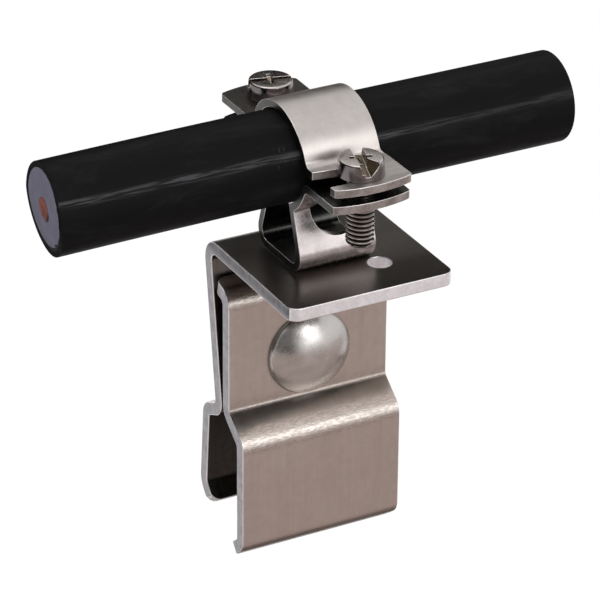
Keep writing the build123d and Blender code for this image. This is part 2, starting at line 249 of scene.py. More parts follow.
# %% [markdown]
# Now a way to write shader maths. In the node editor `grain * 0.3 + 0.2` is two Math nodes
# wired together. The class `Wire` wraps one output socket, and its operators add those nodes,
# so a finish reads like a formula.

# %% Shader maths
class Wire:
    """One value in a finish's node tree."""

    def __init__(self, finish, socket):
        self.finish, self.socket = finish, socket

    def maths(self, operation, first, second):
        return self.finish.node("ShaderNodeMath", {"operation": operation}, {0: first, 1: second})

    def __add__(self, other):
        return self.maths("ADD", self, other)

    def __sub__(self, other):
        return self.maths("SUBTRACT", self, other)

    def __rsub__(self, other):
        return self.maths("SUBTRACT", other, self)

    def __mul__(self, other):
        return self.maths("MULTIPLY", self, other)

    def __pow__(self, other):
        return self.maths("POWER", self, other)

    __radd__ = __add__
    __rmul__ = __mul__


class Finish:
    """A material built round one Principled shader."""

    def __init__(self, name, colour, roughness, metallic=0.0, **constants):
        self.material = bpy.data.materials.new(name)
        self.material.use_nodes = True
        self.tree = self.material.node_tree
        self.shader = next(n for n in self.tree.nodes if n.type == "BSDF_PRINCIPLED")
        constants.update(Base_Color=(*colour, 1), Roughness=roughness, Metallic=metallic)
        for socket, value in constants.items():
            self.shader.inputs[socket.replace("_", " ")].default_value = value

    def node(self, kind, settings=None, sockets=None, output=0):
        """Adds a node: its settings first, then the values or links of its sockets."""
        made = self.tree.nodes.new(kind)
        for name, value in (settings or {}).items():
            setattr(made, name, value)
        for name, value in (sockets or {}).items():
            if isinstance(value, Wire):
                self.tree.links.new(value.socket, made.inputs[name])
            else:
                made.inputs[name].default_value = value
        return Wire(self, made.outputs[output])

    def feed(self, **wires):
        for name, wire in wires.items():
            self.tree.links.new(wire.socket, self.shader.inputs[name.replace("_", " ")])

    def place(self):
        """The point on the object, in metres, which moves with its body."""
        return self.node("ShaderNodeTexCoord", output="Object")

    def parts(self, point):
        """A point's x, y and z as three values."""
        split = self.node("ShaderNodeSeparateXYZ", sockets={0: point})
        return [Wire(self, socket) for socket in split.socket.node.outputs]

    def point(self, x, y, z):
        return self.node("ShaderNodeCombineXYZ", sockets={0: x, 1: y, 2: z})

    def noise(self, where, scale=1.0, detail=3.0, rough=0.5, twist=0.0):
        return self.node("ShaderNodeTexNoise", sockets={
            "Vector": where, "Scale": scale, "Detail": detail, "Roughness": rough, "Distortion": twist})

    def between(self, value, low, high, first=0.0, last=1.0):
        """Carries value from the range low..high to first..last, held at both ends."""
        return self.node("ShaderNodeMapRange", {"interpolation_type": "SMOOTHSTEP"}, {
            0: value, 1: low, 2: high, 3: first, 4: last})

    def band(self, value, places):
        """1 from the second to the third of four places in millimetres, and 0 outside the outer two."""
        start, full, still, end = (place * MM for place in places)
        return self.between(value, start, full) * self.between(value, end, still)

    def tint(self, share, first, second):
        """A colour that goes from first to second as share goes from 0 to 1."""
        colours = {6: first if isinstance(first, Wire) else (*first, 1),
                   7: second if isinstance(second, Wire) else (*second, 1)}
        return self.node("ShaderNodeMix", {"data_type": "RGBA"}, {0: share, **colours}, output=2)

    def bump(self, height, depth, **over):
        """A normal bent by a height, in parts of depth metres. Normal= gives one that it lies over."""
        return self.node("ShaderNodeBump", sockets={
            "Strength": 1.0, "Distance": depth, "Height": height, **over})


def dimmed(colour, share):
    """A colour at a share of its brightness."""
    return tuple(part * share for part in colour)


# %% [markdown]
# Every sheet of this holder is rolled stainless steel, so one recipe with a few settings
# makes the plates and the clamp. Rolling leaves hair-fine lines in one direction. In the
# texture they are a noise that is squeezed across the lines and drawn out along them. `y + z`
# measures the way along a folded sheet well enough, because its grain runs up the plate and
# over the fold. A second, large noise stands for finger marks, and only changes the shine.
# Where the press bent the sheet, its surface was stretched and sparkles. A recipe may name
# such a zone by its place, and gets a pitted, uneven shine there.

# %% Rolled steel
KNEE, CREASE, CURL = (26.8, 27.8, 31.2, 33.0), (34.2, 34.9, 36.4, 37.4), (58.8, 59.8, 62.8, 64.0)


def rolled_steel(name, colour, dark, shine, fine=1500.0, along=22.0, depth=0.000006, waves=0.00006,
                 zone=None, duller=0.0, darker=0.0, pitted=4.5, pits=620.0):
    """Metal with a rolled grain across X. `shine` is its roughness off and on the grain lines.

    zone(made, x, y, z) may pick a part of the sheet that is duller and darker than the rest and
    pitted: `pitted` is how deep, beside the grain, and `pits` how many of them go to a metre.
    """
    made = Finish(name, colour, shine[0], metallic=1.0)
    x, y, z = made.parts(made.place())
    run = y + z
    hairs = made.noise(made.point(x * fine, run * along, z * along * 0.3), detail=4.0, rough=0.65)
    bands = made.noise(made.point(x * fine * 0.12, run * along * 0.6, y * 3.0), detail=2.0)
    marks = made.noise(made.place(), scale=75.0, detail=5.0, rough=0.6, twist=0.4)
    mottle = made.noise(made.place(), scale=620.0, detail=3.0, rough=0.55)
    grain = hairs * 0.42 + bands * 0.13 + mottle * 0.45
    base = made.tint(made.between(grain, 0.34, 0.66), dark, colour)
    rough = made.between(grain, 0.30, 0.70, *shine) + made.between(marks, 0.42, 0.68) * 0.05
    height = grain
    if zone:
        inside = zone(made, x, y, z)
        peel = made.noise(made.point(x * pits * 0.3, y * pits, z * pits), detail=3.0, rough=0.55)
        rough = rough + inside * ((peel - 0.5) * 0.3 + duller)
        base = made.tint(inside * made.between(peel, 0.44, 0.56) * darker, base, dimmed(colour, 0.72))
        height = grain + inside * peel * pitted
    swell = made.noise(made.place(), scale=95.0, detail=1.0)
    made.feed(Base_Color=base, Roughness=rough,
              Normal=made.bump(swell, waves, Normal=made.bump(height, depth)))
    return made.material


def front_ears(made, x, y, z):
    """1 on the front ears, which the press left matt and mottled."""
    return made.between(y, -22.4 * MM, -23.4 * MM)


def pressed_bends(made, x, y, z):
    """1 on the outside of the front plate's knee and curl, and less in the crease between them."""
    bends = made.band(z, KNEE) + made.band(z, CREASE) * 0.6 + made.band(z, CURL)
    return bends * made.between(y, 0.0, -2.0 * MM)


back_steel = rolled_steel("plate_steel_back", (0.45, 0.415, 0.385), (0.41, 0.375, 0.35), (0.24, 0.30))
front_steel = rolled_steel("plate_steel_front", (0.52, 0.465, 0.43), (0.47, 0.42, 0.388), (0.30, 0.36),
                           zone=pressed_bends, duller=-0.03, darker=0.8, pitted=8.0, pits=2900.0)
clamp_steel = rolled_steel("clamp_steel_satin", (0.50, 0.462, 0.440), (0.45, 0.418, 0.40), (0.34, 0.40),
                           fine=420.0, along=160.0, depth=0.000003, waves=0.00008,
                           zone=front_ears, duller=0.05, darker=0.9)
# Painted dark reflection: the flange's top and the strap's rear ear get this darker steel.
flange_steel_dark_reflection = rolled_steel("plate_steel_flange_painted_reflection", (0.25, 0.228, 0.214), (0.225, 0.207, 0.195),
                            (0.27, 0.32), depth=0.0000012, waves=0.00003)
saddle_steel = rolled_steel("saddle_steel_satin", (0.53, 0.485, 0.480), (0.37, 0.337, 0.337),
                            (0.20, 0.31), fine=420.0, along=120.0, depth=0.000008, waves=0.00014,
                            zone=front_ears, duller=0.05, darker=0.9)
# Painted shade: darker copies of the sheet steel for faces that lie in shade.
shade_painted_plate_steel = rolled_steel("plate_steel_shaded", (0.17, 0.155, 0.145), (0.13, 0.12, 0.11), (0.26, 0.34))
shade_painted_clamp_steel = rolled_steel("clamp_steel_shaded", (0.075, 0.075, 0.073), (0.048, 0.047, 0.046),
                            (0.24, 0.32))
print("sheet finishes from", back_steel.name, "to", shade_painted_clamp_steel.name)

# %% [markdown]
# Where a sheet was cut by a press, its edge is a different surface: paler, duller, and rough
# where the steel tore rather than sheared. It is a material of its own, given to the edge
# faces. The rims of flange, lip and foot are paler than the flanks: partly rubbed wear, partly
# a painted highlight. The back plate's flanks are darker at the flange, a painted dark
# reflection, so the recipe may darken an edge above a height. The clamp's flanks are near
# black, a painted dark reflection too.

# %% Sheared edge


def sheared_edge(name, pale, dark, metallic, shine, dark_reflection_above=None):
    made = Finish(name, pale, shine[0], metallic=metallic)
    where = made.place()
    z = made.parts(where)[2]
    coarse = made.noise(where, scale=420.0, detail=3.0, rough=0.6)
    tears = made.noise(where, scale=1900.0, detail=5.0, rough=0.7)
    base = made.tint(made.between(coarse * 0.6 + tears * 0.4, 0.35, 0.62), dark, pale)
    # Painted dark reflection on the flanks above a height.
    if dark_reflection_above:
        painted_dark_reflection = made.between(z, dark_reflection_above, dark_reflection_above + 2.0 * MM)
        uneven = made.between(coarse, 0.3, 0.6, 0.6, 1.0)
        base = made.tint(painted_dark_reflection * uneven, base, dimmed(dark, 0.45))
    made.feed(Base_Color=base, Roughness=made.between(tears, 0.3, 0.7, *shine),
              Normal=made.bump(coarse * 0.5 + tears * 0.5, 0.00002))
    return made.material


plate_edge = sheared_edge("plate_edge_sheared", (0.40, 0.380, 0.402), (0.27, 0.256, 0.275), 0.80,
                          (0.36, 0.52), dark_reflection_above=69.5 * MM)
# Paler rims: partly rubbed wear, partly a painted highlight.
rim_edge_wear_and_highlight = sheared_edge("plate_edge_wear_and_highlight", (0.86, 0.84, 0.87), (0.74, 0.72, 0.75), 0.70, (0.36, 0.52))
# Near-black clamp flanks: a painted dark reflection.
clamp_edge_dark_reflection = sheared_edge("clamp_edge_painted_dark_reflection", (0.07, 0.065, 0.062), (0.035, 0.032, 0.03), 0.95,
                          (0.28, 0.40))
ear_edge = sheared_edge("clamp_ear_sheared", (0.42, 0.39, 0.375), (0.24, 0.22, 0.21), 0.90, (0.30, 0.44))
print("edge finishes:", plate_edge.name, rim_edge_wear_and_highlight.name, clamp_edge_dark_reflection.name, ear_edge.name)

# %% [markdown]
# Bolt, nut and screws are turned or cold-headed and then tumbled: polished, but peppered with
# tiny dents and hair scratches that run every way. The recesses of the screws hold brownish
# grime, so they get a darker and duller version of the same steel. The roots and lower flanks
# of the threads get a near-black steel: grime and painted shade. The screw heads' sides,
# except towards the back, get a darker steel that paints their shade, and the rims are paler:
# partly rubbed wear, partly a painted highlight.

# %% Turned steel


def turned_steel(name, colour, shine, dents=700.0, depth=0.00001, uneven=0.82):
    made = Finish(name, colour, shine[0], metallic=1.0)
    where = made.place()
    speckle = made.noise(where, scale=dents, detail=4.0, rough=0.6)
    cloud = made.noise(where, scale=150.0, detail=3.0, twist=0.8)
    hair = made.noise(where, scale=330.0, detail=1.0, rough=0.3, twist=3.0)
    fine_line = made.between(hair, 0.49, 0.50) * made.between(hair, 0.51, 0.50)
    made.feed(
        Base_Color=made.tint(made.between(cloud, 0.35, 0.65), dimmed(colour, uneven), colour),
        Roughness=made.between(speckle * 0.5 + cloud * 0.5, 0.35, 0.65, *shine) + fine_line * 0.12,
        Normal=made.bump(speckle * 0.7 - fine_line * 0.3, depth),
    )
    return made.material


bolt_steel = turned_steel("bolt_steel_tumbled", (0.54, 0.515, 0.50), (0.24, 0.33), depth=0.000014,
                          uneven=0.85)
screw_steel = turned_steel("screw_steel_tumbled", (0.50, 0.455, 0.435), (0.17, 0.27), dents=900.0)
side_steel_painted_shade = turned_steel("screw_side_painted_shade", (0.21, 0.185, 0.19), (0.14, 0.22), dents=900.0)
thread_steel = turned_steel("thread_crest_steel", (0.52, 0.49, 0.47), (0.18, 0.28), depth=0.000006)
grimy_steel = turned_steel("recess_steel_grimy", (0.19, 0.145, 0.095), (0.22, 0.38), depth=0.00002,
                           uneven=0.55)
# Near-black steel for thread roots and lower flanks: grime and painted shade.
root_steel_grime_and_shade = turned_steel("thread_root_grime_and_shade", (0.07, 0.064, 0.058), (0.30, 0.45), uneven=0.6)
# Pale steel for the rounded edges: partly rubbed wear, partly a painted highlight.
burnished_and_highlight_steel = turned_steel("edge_steel_burnished_and_highlight", (0.78, 0.75, 0.75), (0.24, 0.34), depth=0.000006)
nut_steel = turned_steel("nut_steel", (0.50, 0.48, 0.46), (0.20, 0.32))
print("turned finishes from", bolt_steel.name, "to", nut_steel.name)

# %% [markdown]
# The conductor is three materials in one another. Its sheath is black rubber, drawn through a
# die, with faint lines along it, dusty smears and a few pale scuffs. One line along its front
# is paler grey, partly rubbed wear and partly a painted highlight streak, and beside the strap
# it has a patch of nicks. Both lie at a height above the axis, so the axis is measured first.

# %% Rubber
sheath_low, sheath_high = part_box("conductor_sheath")
AXIS_Y, AXIS_Z = (sheath_low.y + sheath_high.y) / 2, (sheath_low.z + sheath_high.z) / 2
RUBBED_HIGHLIGHT_LINE, NICKED_HEIGHTS = (3.0, 4.2, 4.3, 5.2), (0.0, 3.0, 5.0, 7.0)
BESIDE_STRAP = (-17.5, -15.5, -13.5, -11.8)


def sheath_rubber():
    made = Finish("sheath_rubber_black", (0.0048, 0.0048, 0.0050), 0.5, Specular_IOR_Level=0.06)
    where = made.place()
    x, y, z = made.parts(where)
    drawn = made.noise(made.point(x * 14, y * 900, z * 900), detail=3.0, rough=0.6)
    dust = made.noise(made.point(x * 45, y * 160, z * 160), detail=5.0, rough=0.7, twist=0.6)
    streaks = made.noise(made.point(x * 120, y * 620, z * 620), detail=4.0, rough=0.7)
    scuff = made.between(streaks, 0.66, 0.74)
    grit = made.noise(where, scale=2600.0, detail=3.0, rough=0.6)
    in_front = made.between(y, AXIS_Y, AXIS_Y - 2 * MM)
    wander = made.noise(made.point(x * 30, 0.0, 0.0), detail=2.0)
    # A paler line along the front: rubbed wear and a painted highlight streak.
    line = made.band((z - AXIS_Z) - (wander - 0.5) * 0.0012, RUBBED_HIGHLIGHT_LINE)
    rubbed_and_highlight = line * in_front * made.between(x, 30.0 * MM, 0.0, 0.35, 1.0)
    threads = made.noise(made.point(x * 150, y * 2400, z * 2400), detail=4.0)
    wear_and_highlight = rubbed_and_highlight * (0.15 + made.between(threads, 0.38, 0.62, 0.0, 1.5))
    chips = made.noise(made.point(x * 1900, y * 420, z * 420), detail=3.0, rough=0.6)
    nicked = made.band(x, BESIDE_STRAP) * made.between(chips, 0.56, 0.70)
    wear_and_highlight = wear_and_highlight + nicked * made.band(z - AXIS_Z, NICKED_HEIGHTS) * in_front * 0.8
    made.feed(
        Base_Color=made.tint(made.between(dust, 0.45, 0.85) * 0.25 + scuff * 0.22 + wear_and_highlight * 0.75,
                             (0.0046, 0.0046, 0.0048), (0.060, 0.058, 0.062)),
        Roughness=made.between(drawn * 0.5 + dust * 0.5, 0.35, 0.65, 0.46, 0.58),
        Normal=made.bump(drawn * 0.5 + grit * 0.35 + scuff * 0.4, 0.00003),
    )
    return made.material


def sawn_rubber():
    """The cut end of the sheath: soot black, with the saw's lines."""
    made = Finish("sheath_rubber_sawn", (0.004, 0.004, 0.0042), 0.6, Specular_IOR_Level=0.012)
    x, y, z = made.parts(made.place())
    saw = made.noise(made.point(x * 200, y * 140, z * 1500), detail=3.0)
    share = made.between(saw, 0.3, 0.7)
    made.feed(Base_Color=made.tint(share, (0.0030, 0.0030, 0.0032), (0.0060, 0.0060, 0.0063)),
              Roughness=made.between(saw, 0.3, 0.7, 0.52, 0.68), Normal=made.bump(saw, 0.00004))
    return made.material


rubber, cut_rubber = sheath_rubber(), sawn_rubber()
print("conductor axis at y, z =", round(AXIS_Y, 5), round(AXIS_Z, 5))

# %% [markdown]
# Inside the sheath is a lilac-grey plastic that was cut with a saw, and in the middle one solid
# copper wire. The saw smeared black rubber over the plastic's rim, most of all towards the
# front, and on that side the copper's rim is painted dark, as the shade in a gap round the
# wire. Both are told by how far they are from the axis.

# %% Plastic and copper
core_low, core_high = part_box("conductor_core")
CORE_RADIUS = (core_high.z - core_low.z) / 2
SMEARED_FROM, SMEAR_RAGGED = 8.45 * MM, 1.7 * MM
BLACK_NICK = (-8.95, -8.85, -8.55, -8.45)


def reach(across, up):
    """How far a point is from the axis, from how far it is across and up."""
    return (across * across + up * up) ** 0.5


def sawn_plastic():
    made = Finish("insulation_plastic_grey", (0.23, 0.225, 0.31), 0.5, Specular_IOR_Level=0.03)
    where = made.place()
    x, y, z = made.parts(where)
    off_y, off_z = y - AXIS_Y - 0.10 * MM, z - AXIS_Z
    ragged = made.noise(where, scale=900.0, detail=4.0, rough=0.75)
    torn_side = made.between(off_y, 1.0 * MM, -6.0 * MM, 0.2, 1.0)
    rim = reach(off_y, off_z) + (ragged - 0.42) * torn_side * SMEAR_RAGGED
    smeared = made.between(rim, SMEARED_FROM, SMEARED_FROM + 0.10 * MM)
    slanted = z - AXIS_Z + (y - AXIS_Y) * 0.46
    nick = made.band(slanted, BLACK_NICK) * made.between(y - AXIS_Y, -4.0 * MM, -4.3 * MM)
    saw = made.noise(made.point(x * 200, y * 140 + z * 60, z * 1500 - y * 500), detail=2.0)
    cloud = made.noise(where, scale=260.0, detail=3.0)
    pale = made.between(cloud * 0.6 + saw * 0.4, 0.35, 0.65)
    body = made.tint(pale, (0.135, 0.132, 0.178), (0.173, 0.169, 0.223))
    made.feed(Base_Color=made.tint(smeared + nick, body, (0.0025, 0.0025, 0.0027)),
              Roughness=made.between(saw, 0.3, 0.7, 0.46, 0.64),
              Normal=made.bump(saw * 0.6 + ragged * 0.4, 0.00005))
    return made.material


def sawn_copper():
    made = Finish("core_copper_sawn", (0.30, 0.10, 0.07), 0.45, Specular_IOR_Level=0.02)
    where = made.place()
    x, y, z = made.parts(where)
    saw = made.noise(made.point(x * 200, y * 200, z * 2200 - y * 700), detail=2.0)
    tarnish = made.noise(where, scale=520.0, detail=3.0)
    off_y, off_z = y - AXIS_Y, z - AXIS_Z
    ring = made.between(reach(off_y, off_z), CORE_RADIUS - 0.55 * MM, CORE_RADIUS - 0.40 * MM)
    # Painted shade: the copper's rim on the front side is darkened.
    painted_gap_shade = ring * made.between(off_y, 0.0, -1.2 * MM)
    metal = made.tint(made.between(tarnish, 0.35, 0.68), (0.150, 0.036, 0.022), (0.27, 0.068, 0.040))
    made.feed(Base_Color=made.tint(painted_gap_shade, metal, (0.02, 0.012, 0.010)),
              Roughness=made.between(saw, 0.3, 0.7, 0.36, 0.55), Normal=made.bump(saw, 0.00003))
    return made.material


plastic, copper = sawn_plastic(), sawn_copper()
print("copper wire's radius", round(CORE_RADIUS, 5))

# %% [markdown]
# CAD edges are perfectly sharp, and a perfectly sharp edge never catches the light. The helper
# below copies a solid's mesh, joins its split corners, merges its flat triangles into whole
# faces, and rounds every edge of the copy by a hair. The bevel stays inside the solid, so the
# piece keeps its size. A rule may hand the faces at the cut edges to a second material.

# %% Soft edges for folded sheet


def clean_copy(node):
    """A bmesh of a CAD node with shared corners and whole flat faces."""
    work = bmesh.new()
    work.from_mesh(nodes[node].data)
    bmesh.ops.remove_doubles(work, verts=work.verts, dist=0.002 * MM)
    bmesh.ops.dissolve_limit(work, angle_limit=radians(0.5), verts=work.verts, edges=work.edges)
    bmesh.ops.recalc_face_normals(work, faces=work.faces)
    return work


def piece_from(work, name, body, materials, replaced=(), sharp=35.0):
    """Turns a bmesh into a shown piece that rides on a body."""
    mesh = bpy.data.meshes.new(name)
    for face in work.faces:
        face.smooth = True
    work.to_mesh(mesh)
    work.free()
    mesh.set_sharp_from_angle(angle=radians(sharp))
    for material in materials:
        mesh.materials.append(material)
    made = bpy.data.objects.new(name, mesh)
    bpy.context.scene.collection.objects.link(made)
    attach(made, body)
    if replaced:
        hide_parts(*replaced)
    return made


def soften(piece, width, segments=3, angle=28.0, finish=-1):
    """Rounds a piece's sharp edges by `width` metres, in its material number `finish`."""
    bevel = piece.modifiers.new("soft_edges", "BEVEL")
    bevel.limit_method, bevel.angle_limit = "ANGLE", radians(angle)
    bevel.width, bevel.segments = width, segments
    bevel.use_clamp_overlap = False
    bevel.harden_normals = True
    bevel.material = finish


def mark_faces(work, rule, index):
    """Gives the faces that the rule picks to one of the piece's materials."""
    found = [face for face in work.faces if rule(face)]
    for face in found:
        face.material_index = index
    return len(found)


# %% [markdown]
# The two jaw plates. Their flanks face along X, and the rims of the flange, the lip and the
# foot are the only other cut faces. Such a rim is told by its short edges, which are as long
# as the sheet is thick. The faces round the seam's room and below the flange see hardly any
# light and get a darker steel that paints their shade, and the top of the flange a smoother,
# darker one that paints its dark reflection. The sharp edges were rubbed bright, so the
# roundings get a pale steel: partly that wear, partly a painted highlight.

# %% Jaw plates
SHEET = 3.0 * MM
FLANK, RIM, SHADE, ROUNDING, FLANGE = 1, 2, 3, 4, 5
SEAM_ROOM, SEAM_ROOM_LOW, SEAM_ROOM_HIGH = (-1 * MM, 19 * MM), 7 * MM, 33 * MM
FLANGE_HOLE, FLANGE_TOP = Vector((7.4, -21.3, 71.4)) * MM, 72 * MM
FLANGE_BELOW, LEG_ABOVE = 65 * MM, 40 * MM


def is_flank(face):
    return abs(face.normal.x) > 0.9


def is_rim(face, sheet):
    """True for a face across the sheet: a flank, or a strip with edges as long as it is thick."""
    across = [edge for edge in face.edges if abs(edge.calc_length() / sheet - 1) < 0.02]
    return is_flank(face) or len(across) >= 2


def turned_to(face, y, z):
    """True for a face of the folded sheet that looks towards the line at y, z along X."""
    centre = face.calc_center_median()
    return (y - centre.y) * face.normal.y + (z - centre.z) * face.normal.z > 0


def in_seam_room(face):
    """True for the faces round the room for the seam, which is always in shade."""
    height = face.calc_center_median().z
    return SEAM_ROOM_LOW < height < SEAM_ROOM_HIGH and turned_to(face, *SEAM_ROOM)


def under_flange(face):
    """True for the shaded faces below the flange, between the two plates."""
    height = face.calc_center_median().z
    return ((height > FLANGE_BELOW and face.normal.z < -0.1)
            or (height > LEG_ABOVE and face.normal.y < -0.5))


def on_flange(face):
    return face.normal.z > 0.95 and face.calc_center_median().z > FLANGE_TOP


def in_hole(face):
    """True for the wall of the open hole in the flange."""
    away = face.calc_center_median() - FLANGE_HOLE
    return away.length < 3 * MM and abs(face.normal.z) < 0.2


def jaw_plate(node, body, steel):
    work = clean_copy(node)
    mark_faces(work, in_seam_room, SHADE)
    if node == "back_plate":
        mark_faces(work, under_flange, SHADE)
    mark_faces(work, on_flange, FLANGE)
    cut = mark_faces(work, lambda face: is_rim(face, SHEET), RIM)
    mark_faces(work, is_flank, FLANK)
    mark_faces(work, in_hole, RIM)
    materials = (steel, plate_edge, rim_edge_wear_and_highlight, shade_painted_plate_steel, burnished_and_highlight_steel, flange_steel_dark_reflection)
    plate = piece_from(work, node + "_folded", body, materials, (node,))
    soften(plate, 0.20 * MM, finish=ROUNDING)
    print(node, "cut faces:", cut)


jaw_plate("back_plate", "frame", back_steel)
jaw_plate("front_plate", "jaw", front_steel)

# %% [markdown]
# The clamp is a saddle below the conductor and a strap over it, both folded from thinner
# strip. They are made as the plates are, with a finer softening, because the strip is thin.
# The saddle's hollow and the top of its ears lie in shade, and a darker steel paints it there.
# The strap's rear ear is as smooth as the flange and gets the flange's darker steel, which
# paints its dark reflection. The strap's band leans a little on this holder, as a hand-bent
# strip does, but its ears and their holes stay where they are.

# %% Saddle and strap
STRIP = 1.8 * MM
HOLLOW_HALF_WIDTH, HOLLOW_LEAN, HOLLOW_FLOOR, HOLLOW_TOP = 9.7 * MM, 0.327, 73.8 * MM, 87.2 * MM
BAND_FROM, BAND_LEAN, BAND_NARROWER = 98.0 * MM, 0.065, 0.65 * MM
BAND_RADIUS, BAND_FADE, NARROWED_BY = 14.0 * MM, 1.8 * MM, 1.5 * MM
SADDLE_EARS, REAR_EAR = 85 * MM, AXIS_Y + 12 * MM


def in_hollow(face):
    """True for the faces of the saddle's trough that look into it."""
    centre = face.calc_center_median()
    wall = HOLLOW_HALF_WIDTH - HOLLOW_LEAN * (centre.z - HOLLOW_FLOOR)
    inside = centre.z < HOLLOW_TOP and abs(centre.y - AXIS_Y) < wall
    return inside and turned_to(face, AXIS_Y, 80 * MM)


def on_saddle_ears(face):
    return face.normal.z > 0.9 and face.calc_center_median().z > SADDLE_EARS


def on_rear_ear(face):
    return face.normal.z > 0.9 and face.calc_center_median().y > REAR_EAR


def lean_band(work):
    """Leans the strap's band to the left on its way up, and makes it narrower than its ears."""
    for vert in work.verts:
        rise = max(0.0, vert.co.z - BAND_FROM)
        from_axis = Vector((vert.co.y - AXIS_Y, vert.co.z - AXIS_Z)).length
        hold = min(1.0, max(0.0, (BAND_RADIUS - from_axis) / BAND_FADE))
        narrower = BAND_NARROWER * min(1.0, rise / NARROWED_BY) if vert.co.x > 0 else 0.0
        vert.co.x -= hold * (BAND_LEAN * rise + narrower)


def clamp_part(node, body, name, steel, shape=None):
    work = clean_copy(node)
    if shape:
        shape(work)
    mark_faces(work, in_hollow, SHADE)
    if node == "saddle":
        mark_faces(work, on_saddle_ears, SHADE)
    else:
        mark_faces(work, on_rear_ear, FLANGE)
    cut = mark_faces(work, lambda face: is_rim(face, STRIP), RIM)
    mark_faces(work, is_flank, FLANK)
    materials = (steel, clamp_edge_dark_reflection, ear_edge, shade_painted_clamp_steel, burnished_and_highlight_steel, flange_steel_dark_reflection)
    soften(piece_from(work, name, body, materials, (node,)), 0.11 * MM, finish=ROUNDING)
    print(name, "cut faces:", cut)


clamp_part("saddle", "frame", "saddle_folded", saddle_steel)
clamp_part("cap", "cap", "strap_folded", clamp_steel, lean_band)

# %% [markdown]
# A thread is one ridge wound round a rod. The mesh follows it: one row of points for each
# corner of the ridge's outline, wound as a helix, and the last row of one turn is the first
# row of the next. It is wound further than the rod is long at both ends, so that the two flat
# cuts that give the rod its ends meet a whole ridge all round. A narrow border inside each end
# keeps its shading flat. A cylinder with a bump texture would keep a straight outline, and the
# outline is where a thread is recognised.

# %% Threads
RIDGE = ((0.00, 0.0), (0.06, 0.0), (0.16, 0.22), (0.26, 0.55), (0.36, 0.88), (0.44, 1.0),
         (0.56, 1.0), (0.64, 0.88), (0.74, 0.55), (0.84, 0.22), (0.94, 0.0))
RIDGE_HEIGHT = 0.61
SPARE_TURNS = 4
END_CORNERS, END_BORDER = 20, 0.08 * MM


def slice_at(work, place, across, **keep):
    """Cuts a bmesh along a plane, and may clear one side of it."""
    bmesh.ops.bisect_plane(work, geom=[*work.verts, *work.edges, *work.faces], dist=1e-7,
                           plane_co=place, plane_no=across, **keep)


def threaded_rod(outer, pitch, length, tip, around=56):
    """A bmesh rod along -Z from z = 0, threaded all along and tapered over `tip` at its end."""
    depth = RIDGE_HEIGHT * pitch
    steps = (int(length / pitch) + SPARE_TURNS) * around
    work = bmesh.new()
    rows = []
    for step in range(steps + 1):
        angle = tau * step / around
        base = pitch * (1.5 - step / around)
        rows.append([])
        for share, lift in RIDGE:
            radius, height = outer - depth * (1 - lift), base + pitch * share
            rows[-1].append(work.verts.new((radius * cos(angle), radius * sin(angle), height)))
    for step in range(steps):
        here, there = rows[step], rows[step + 1]
        for k in range(len(RIDGE) - 1):
            flank = work.faces.new((here[k], here[k + 1], there[k + 1], there[k]))
            # Roots and lower flanks take the second finish: grime and painted shade.
            flank.material_index = int(RIDGE[k][1] + RIDGE[k + 1][1] < 1.0)
        if step >= around:
            above, above_next = rows[step - around], rows[step + 1 - around]
            work.faces.new((here[-1], above[0], above_next[0], there[-1])).material_index = 1
    for height, keep_below in ((0.0, True), (-length, False)):
        slice_at(work, (0, 0, height), (0, 0, 1), clear_outer=keep_below, clear_inner=not keep_below)
        rim = [edge for edge in work.edges
               if edge.is_boundary and max(abs(vert.co.z - height) for vert in edge.verts) < 0.001 * MM]
        bmesh.ops.contextual_create(work, geom=rim)
    for vert in work.verts:
        room = outer - tip + max(0.0, vert.co.z + length)
        distance = Vector((vert.co.x, vert.co.y, 0)).length
        if distance > room:
            vert.co.x *= room / distance
            vert.co.y *= room / distance
    bmesh.ops.recalc_face_normals(work, faces=work.faces)
    ends = [face for face in work.faces if len(face.verts) > END_CORNERS]
    for face in ends:
        face.material_index = 0
    bmesh.ops.inset_individual(work, faces=ends, thickness=END_BORDER)
    return work


# %% [markdown]
# Heads are turned bodies: an outline of radius and height, swept once round an axis, as a
# lathe would cut it. Two small helpers turn and shift a finished mesh to its place.

# %% Turned bodies
GRIMY, BURNISHED_HIGHLIGHT, SIDE = 1, 2, 3


def turn(work, angle, axis):
    bmesh.ops.rotate(work, verts=work.verts, matrix=Matrix.Rotation(angle, 3, axis))


def shift(work, way):
    bmesh.ops.translate(work, verts=work.verts, vec=way)


def belt(work, lower, upper):
    """Joins two rings of points by a belt of faces."""
    for k in range(len(lower)):
        n = (k + 1) % len(lower)
        work.faces.new((lower[k], lower[n], upper[n], upper[k]))


def turned_body(outline, around=96):
    """A closed bmesh from (radius, height) points, which start and end on the axis."""
    work = bmesh.new()
    rings = [[work.verts.new((radius * cos(tau * k / around), radius * sin(tau * k / around), height))
              for k in range(around)] for radius, height in outline[1:-1]]
    for lower, upper in zip(rings, rings[1:]):
        belt(work, lower, upper)
    for ring, (_, height) in ((rings[0], outline[0]), (rings[-1], outline[-1])):
        hub = work.verts.new((0, 0, height))
        for k in range(around):
            work.faces.new((ring[k], ring[(k + 1) % around], hub))
    bmesh.ops.recalc_face_normals(work, faces=work.faces)
    return work


def rounded(radius, height, corner, steps=6):
    """Points of a quarter round from (radius, height - corner) to (radius - corner, height)."""
    angles = [pi / 2 * k / steps for k in range(steps + 1)]
    return [(radius - corner + corner * cos(a), height - corner + corner * sin(a)) for a in angles]


# %% [markdown]
# The two clamp screws have cheese heads with a slot and a cross. The Boolean modifier cuts them
# with tapered cutters, because a drawn cross would be gone as soon as the light moves. A cutter
# is a wedge between two upright outlines. Each is written as its x, then the left and right y
# and the height of its floor, then the same of its top. The cutters' faces carry the number of
# the grimy material, and the modifier hands it to the walls they cut. It leaves slits where two
# cutters share a plane, so none of them do, and the tiny edges it leaves are merged.

# %% Cut recesses


